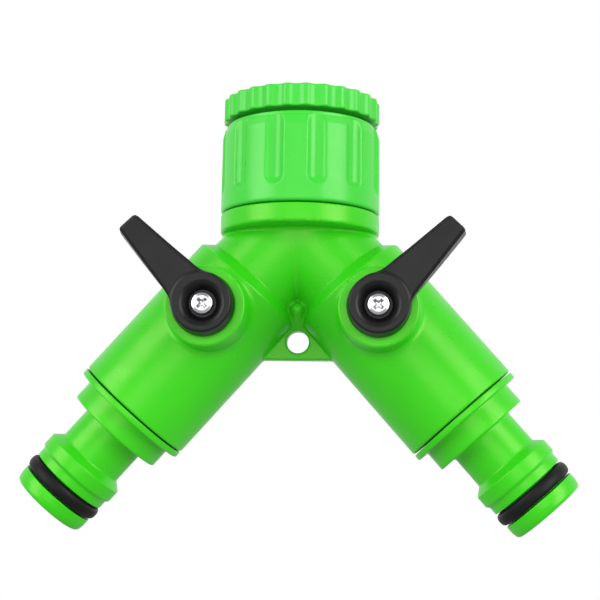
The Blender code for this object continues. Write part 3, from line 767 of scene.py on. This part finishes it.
def outlet_nipple(node, leg):
    plug_r = CAVITY_R - GAP
    corners = [
        (NIPPLE_BORE_R, NOSE_END - NOSE_SHORT, 0.4),
        (NOSE_R - 0.3, NOSE_END - NOSE_SHORT, 1.0),
        (NOSE_R, NOSE_END - 1.6, 1.0),
        (NOSE_R, O_RING_GROOVE[1], 0.15),
        (O_RING_GROOVE_R, O_RING_GROOVE[1], 0.15),
        (O_RING_GROOVE_R, O_RING_GROOVE[0], 0.15),
        (NOSE_R, O_RING_GROOVE[0], 0.15),
        (NOSE_R, NOSE_START, 0.15),
        (RIDGE_R, RIDGE_END, 0.3),
        (RIDGE_R, RIDGE_START, 0.3),
        (NECK_R, NECK_END, 0.6),
        (NECK_R, COLLAR_END, 0.5),
        (COLLAR_R, COLLAR_END, 0.4),
        (COLLAR_R, NIPPLE_FLANGE[1], 0.3),
        (BARREL_R, NIPPLE_FLANGE[1], 0.35),
        (BARREL_R, NIPPLE_FLANGE[0], 0.15),
        (plug_r, NIPPLE_FLANGE[0], 0.15),
        (plug_r, PLUG_GROOVE[1], 0.15),
        (PLUG_GROOVE_R, PLUG_GROOVE[1], 0.15),
        (PLUG_GROOVE_R, PLUG_GROOVE[0], 0.15),
        (plug_r, PLUG_GROOVE[0], 0.15),
        (plug_r, NIPPLE_START, 0.4),
        (NIPPLE_BORE_R, NIPPLE_START, 0.3),
    ]
    lathed(node, leg, spread_out(rounded_outline(corners), 0.5))


def seat(node, leg, facing):
    """A ring round the bore that the ball rests on, facing the outlet (1) or the inlet (-1)."""
    far = PIVOT_AT - CAVITY_START - GAP if facing > 0 else NIPPLE_START - GAP - PIVOT_AT
    outer = CAVITY_R - GAP
    section = [(6.3, 4.2), (6.9, 4.2), (6.9, 5.1), (outer, 5.1), (outer, far), (4.6, far), (4.6, 5.9)]
    corners = [(r, PIVOT_AT - facing * d, 0.12) for r, d in section]
    outline = rounded_outline(corners if facing > 0 else corners[::-1])
    lathed(node, leg, spread_out(outline, 0.5), 128)


def ball_field(local):
    ball = np.linalg.norm(local, axis=1) - BALL_R
    bore = np.hypot(local[:, 1], local[:, 2]) - BALL_BORE_R
    low = TANG_BOTTOM - GAP
    slot = box_distance(local, (-TANG[0] / 2 - GAP, -9, low), (TANG[0] / 2 + GAP, 9, low + 5), 0.1)
    return without(ball, np.minimum(bore, slot), 0.4)


def stem_field(local):
    stem = turned_distance(
        local,
        [
            (SOLID, BOSS_TOP),
            (STEM_R, BOSS_TOP),
            (STEM_R, STEM_GROOVE[1]),
            (STEM_GROOVE_R, STEM_GROOVE[1]),
            (STEM_GROOVE_R, STEM_GROOVE[0]),
            (STEM_R, STEM_GROOVE[0]),
            (STEM_R, STEM_FLANGE_TOP),
            (STEM_FLANGE_R, STEM_FLANGE_TOP),
            (STEM_FLANGE_R, STEM_FLANGE_BOTTOM),
            (SOLID, STEM_FLANGE_BOTTOM),
        ],
        0.15,
    )
    half = STEM_SQUARE / 2
    square = box_distance(local, (-half, -half, BOSS_TOP - 1), (half, half, STEM_TOP), 0.2)
    tang_low, tang_high = (-TANG[0] / 2, -TANG[1] / 2, TANG_BOTTOM), (TANG[0] / 2, TANG[1] / 2, 8)
    tang = box_distance(local, tang_low, tang_high, 0.15)
    solid = joined(joined(stem, square, 0.2), tang, 0.3)
    hole = np.maximum(np.hypot(local[:, 0], local[:, 1]) - SCREW_HOLE_R, SCREW_END - 0.8 - local[:, 2])
    return without(solid, hole, 0.2)


def through(points, count=5):
    """A smooth curve through the points, which stay on it."""
    points = np.array(points, float)
    ends = np.vstack([2 * points[0] - points[1], points, 2 * points[-1] - points[-2]])
    curve = []
    for a, b, c, d in zip(ends, ends[1:], ends[2:], ends[3:]):
        for t in np.arange(count) / count:
            square, cube = 2 * a - 5 * b + 4 * c - d, 3 * b - a - 3 * c + d
            curve.append(0.5 * (2 * b + (c - a) * t + square * t**2 + cube * t**3))
    return np.vstack([curve, points[-1:]])


def lever_outline():
    neck, tip = LEVER_NECK_HALF, LEVER_TIP_HALF
    inlet_side = through(
        [
            (-1.5, LEVER_HUB_R - 1.0),
            (2.2, LEVER_HUB_R - 0.9),
            (3.9, neck + 0.85),
            (5.8, neck + 0.35),
            (8.0, neck + 0.1),
            (12.0, neck - 0.4),
            (LEVER_LENGTH - 0.8, tip + 0.1),
        ]
    )
    outlet_side = through(
        [
            (LEVER_LENGTH - 0.8, -tip + 0.05),
            (8.0, -neck + 0.15),
            (5.9, -neck - 0.12),
            (4.5, -neck - 0.5),
            (3.2, -neck - 1.1),
            (1.0, -LEVER_HUB_R + 0.7),
            (-1.5, -LEVER_HUB_R + 1.0),
        ]
    )
    corner = [(LEVER_LENGTH - 0.2, tip - 0.15), (LEVER_LENGTH, tip - 0.6)]
    far_corner = [(x, -y) for x, y in reversed(corner)]
    return np.vstack([inlet_side, corner, far_corner, outlet_side])


LEVER_OUTLINE = lever_outline()


def lever_field(local, side):
    x, y, z = local[:, 0], local[:, 1] * side, local[:, 2]
    low, high = LEVER_ARM
    share = np.clip((high - z) / (high - low), 0, 1)
    flare = 1 + LEVER_FLARE * share * np.clip((x - 5) / (LEVER_LENGTH - 5), 0, 1)
    flat = outline_distance(x, np.where(y < 0, y / flare, y), LEVER_OUTLINE)
    top = z - high
    chamfer = (flat + top) * 0.7071 + LEVER_CHAMFER
    arm = np.maximum(np.maximum(flat, np.maximum(top, low - z)), chamfer)
    hub = turned_distance(
        local,
        [
            (SOLID, LEVER_HUB_TOP),
            (LEVER_HUB_R - 0.5, LEVER_HUB_TOP),
            (LEVER_HUB_R, BOSS_TOP + GAP + 1.4),
            (LEVER_HUB_R, BOSS_TOP + GAP),
            (SOLID, BOSS_TOP + GAP),
        ],
        0.5,
    )
    solid = np.maximum(joined(arm, hub, 0.9), z + HUB_SHORT - LEVER_HUB_TOP)
    dish = turned_distance(
        local,
        [
            (SOLID, PAST_LEVER),
            (DISH_R + 0.3, PAST_LEVER),
            (DISH_R, LEVER_HUB_TOP),
            (DISH_FLOOR_R, DISH_FLOOR),
            (SOLID, DISH_FLOOR),
        ],
    )
    half = STEM_SQUARE / 2 + GAP
    socket = box_distance(local, (-half, -half, 10), (half, half, STEM_TOP + GAP))
    hole = np.hypot(local[:, 0], local[:, 1]) - SCREW_HOLE_R
    return without(without(solid, dish, 0.6), np.minimum(socket, hole), 0.15)


def screw_field(local):
    head_low = DISH_FLOOR + GAP
    head = turned_distance(
        local,
        [
            (SOLID, SCREW_HEAD_TOP),
            (SCREW_HEAD_R * 0.7, SCREW_HEAD_TOP - 0.02),
            (SCREW_HEAD_R * 0.96, SCREW_HEAD_TOP - 0.25),
            (SCREW_HEAD_R, SCREW_HEAD_TOP - 0.6),
            (SCREW_HEAD_R, head_low),
            (SOLID, head_low),
        ],
        0.1,
    )
    z = local[:, 2]
    angle = np.arctan2(local[:, 1], local[:, 0])
    phase = (z / SCREW_PITCH - angle / (2 * pi) + 0.5) % 1 - 0.5
    radius = np.hypot(local[:, 0], local[:, 1])
    ridge = SCREW_R - SCREW_RIDGE + SCREW_RIDGE * np.clip(1 - np.abs(phase) * 3.2, 0, 1)
    point = np.maximum((z - SCREW_END) * 1.1 + 0.1, 0.0)
    shank = np.maximum((radius - np.minimum(ridge, point)) * 0.8, SCREW_END - z)
    shank = np.maximum(shank, z - head_low - GAP)
    solid = np.minimum(head, shank)

    depth = SCREW_HEAD_TOP + 0.1 - z
    arm = CROSS_ARM - depth * 0.35
    wide = CROSS_HALF - depth * 0.06
    x, y = np.abs(local[:, 0]), np.abs(local[:, 1])
    cross = np.minimum(np.maximum(x - arm, y - wide), np.maximum(y - arm, x - wide))
    cross = joined(cross, radius - (CROSS_HEART - depth * 0.25), 0.12)
    cross = np.maximum(cross, depth - CROSS_DEPTH)
    return without(solid, cross, 0.12)


def valve_pieces(name, side, leg, valve):
    """One outlet's nipple, seals, seats, ball, stem, lever and screw."""
    outlet_nipple(f"{name}_outlet_nipple", leg)
    o_rings = [
        ("nipple_o_ring", leg, O_RING_GROOVE, O_RING_GROOVE_R + GAP, O_RING_R, 128),
        ("plug_o_ring", leg, PLUG_GROOVE, PLUG_GROOVE_R + GAP, CAVITY_R - GAP, 128),
        ("stem_o_ring", valve, STEM_GROOVE, STEM_GROOVE_R + GAP, STEM_HOLE_R - GAP, 96),
    ]
    for piece, *sizes in o_rings:
        o_ring(f"{name}_{piece}", *sizes)
    seat(f"{name}_inner_seat", leg, 1)
    seat(f"{name}_outer_seat", leg, -1)
    carvings = [  # name, the box that holds it, the mesh's step and the field
        ("valve_ball", (-7.5, -7.5, -7.5), (7.5, 7.5, 7.5), 0.25, ball_field),
        ("valve_stem", (-5.2, -5.2, 4.6), (5.2, 5.2, STEM_TOP + 0.6), 0.2, stem_field),
        ("lever", (-6.6, -6.8, 19.8), (22.1, 6.8, 25.3), 0.17, lambda local: lever_field(local, side)),
        ("lever_screw", (-2.4, -2.4, SCREW_END - 0.4), (2.4, 2.4, SCREW_HEAD_TOP + 0.4), 0.07, screw_field),
    ]
    for piece, *sizes in carvings:
        carved(f"{name}_{piece}", valve, *sizes)


# ---------------------------------------------------------------- stage, light and camera


def stage():
    mesh = bpy.data.meshes.new("floor")
    turn = np.linspace(0, 2 * pi, FLOOR_SIDES, endpoint=False)
    edge = [(FLOOR_R * cos(t), FLOOR_R * sin(t), FLOOR_Z) for t in turn]
    mesh.from_pydata(edge, [], [list(range(FLOOR_SIDES))])
    floor = put_in_scene("floor", mesh)
    material = bpy.data.materials.new("floor_paper")
    material.use_nodes = True
    tree = material.node_tree
    shader = tree.nodes["Principled BSDF"]
    paper = mixed(tree, ranged(tree, noise(tree, scale=9, detail=2), 0, 1), (0.93,) * 3, (0.95,) * 3)
    link(tree, paper, shader.inputs["Base Color"])
    shader.inputs["Roughness"].default_value = 0.9
    mesh.materials.append(material)
    floor.visible_diffuse = False  # the object's underside stays as dark as in the open
    floor.visible_glossy = False


def studio_room():
    """A bright room behind the object and a dimmer one in front and below, plain white to the camera."""
    world = bpy.data.worlds.new("studio")
    bpy.context.scene.world = world
    world.use_nodes = True
    tree = world.node_tree
    place = tree.nodes.new("ShaderNodeTexCoord")
    direction = tree.nodes.new("ShaderNodeSeparateXYZ")
    link(tree, place.outputs["Generated"], direction.inputs["Vector"])
    room = ranged(tree, direction.outputs["Y"], ROOM_FRONT, 1.0, -0.3, 0.6, "SMOOTHSTEP")
    above = ranged(tree, direction.outputs["Z"], 0, 1, -0.35, -0.05, "SMOOTHSTEP")
    shade = tree.nodes.new("ShaderNodeMix")
    shade.data_type = "FLOAT"
    shade.inputs["A"].default_value = ROOM_FLOOR
    link(tree, above, shade.inputs["Factor"])
    link(tree, room, shade.inputs["B"])
    seen = tree.nodes.new("ShaderNodeLightPath").outputs["Is Camera Ray"]
    plain = tree.nodes.new("ShaderNodeMath")
    plain.operation = "MAXIMUM"
    link(tree, shade.outputs["Result"], plain.inputs[0])
    link(tree, seen, plain.inputs[1])
    white = mixed(tree, plain.outputs["Value"], (0, 0, 0), (1, 1, 1))
    link(tree, white, tree.nodes["Background"].inputs["Color"])


def softbox(name, where, size, power):
    light = bpy.data.lights.new(name, "AREA")
    light.shape = "RECTANGLE"
    light.size, light.size_y = size
    light.energy = power
    lamp = put_in_scene(name, light)
    lamp.location = where
    lamp.visible_camera = False
    lamp.rotation_euler = (Vector(LIGHTS_AIM) - Vector(where)).to_track_quat("-Z", "Y").to_euler()


def view():
    out = Vector(
        (
            sin(VIEW_AZIMUTH) * cos(VIEW_ELEVATION),
            -cos(VIEW_AZIMUTH) * cos(VIEW_ELEVATION),
            sin(VIEW_ELEVATION),
        )
    )
    data = bpy.data.cameras.new("camera")
    data.lens = LENS
    data.sensor_width = SENSOR_WIDTH
    camera = put_in_scene("camera", data)
    camera.location = Vector(VIEW_MIDDLE) + out * VIEW_DISTANCE
    level = (-out).to_track_quat("-Z", "Y").to_matrix()
    camera.rotation_euler = (level @ Matrix.Rotation(VIEW_ROLL, 3, "Z")).to_euler()
    bpy.context.scene.camera = camera
    bpy.context.scene.view_settings.view_transform = "Standard"


def main():
    adapter_ring()
    swivel_nut()
    washers()
    nut_retaining_ring()
    y_body()
    for side in SIDES:
        valve_pieces(*side)
    stage()
    studio_room()
    for light in SOFTBOXES:
        softbox(*light)
    view()


main()
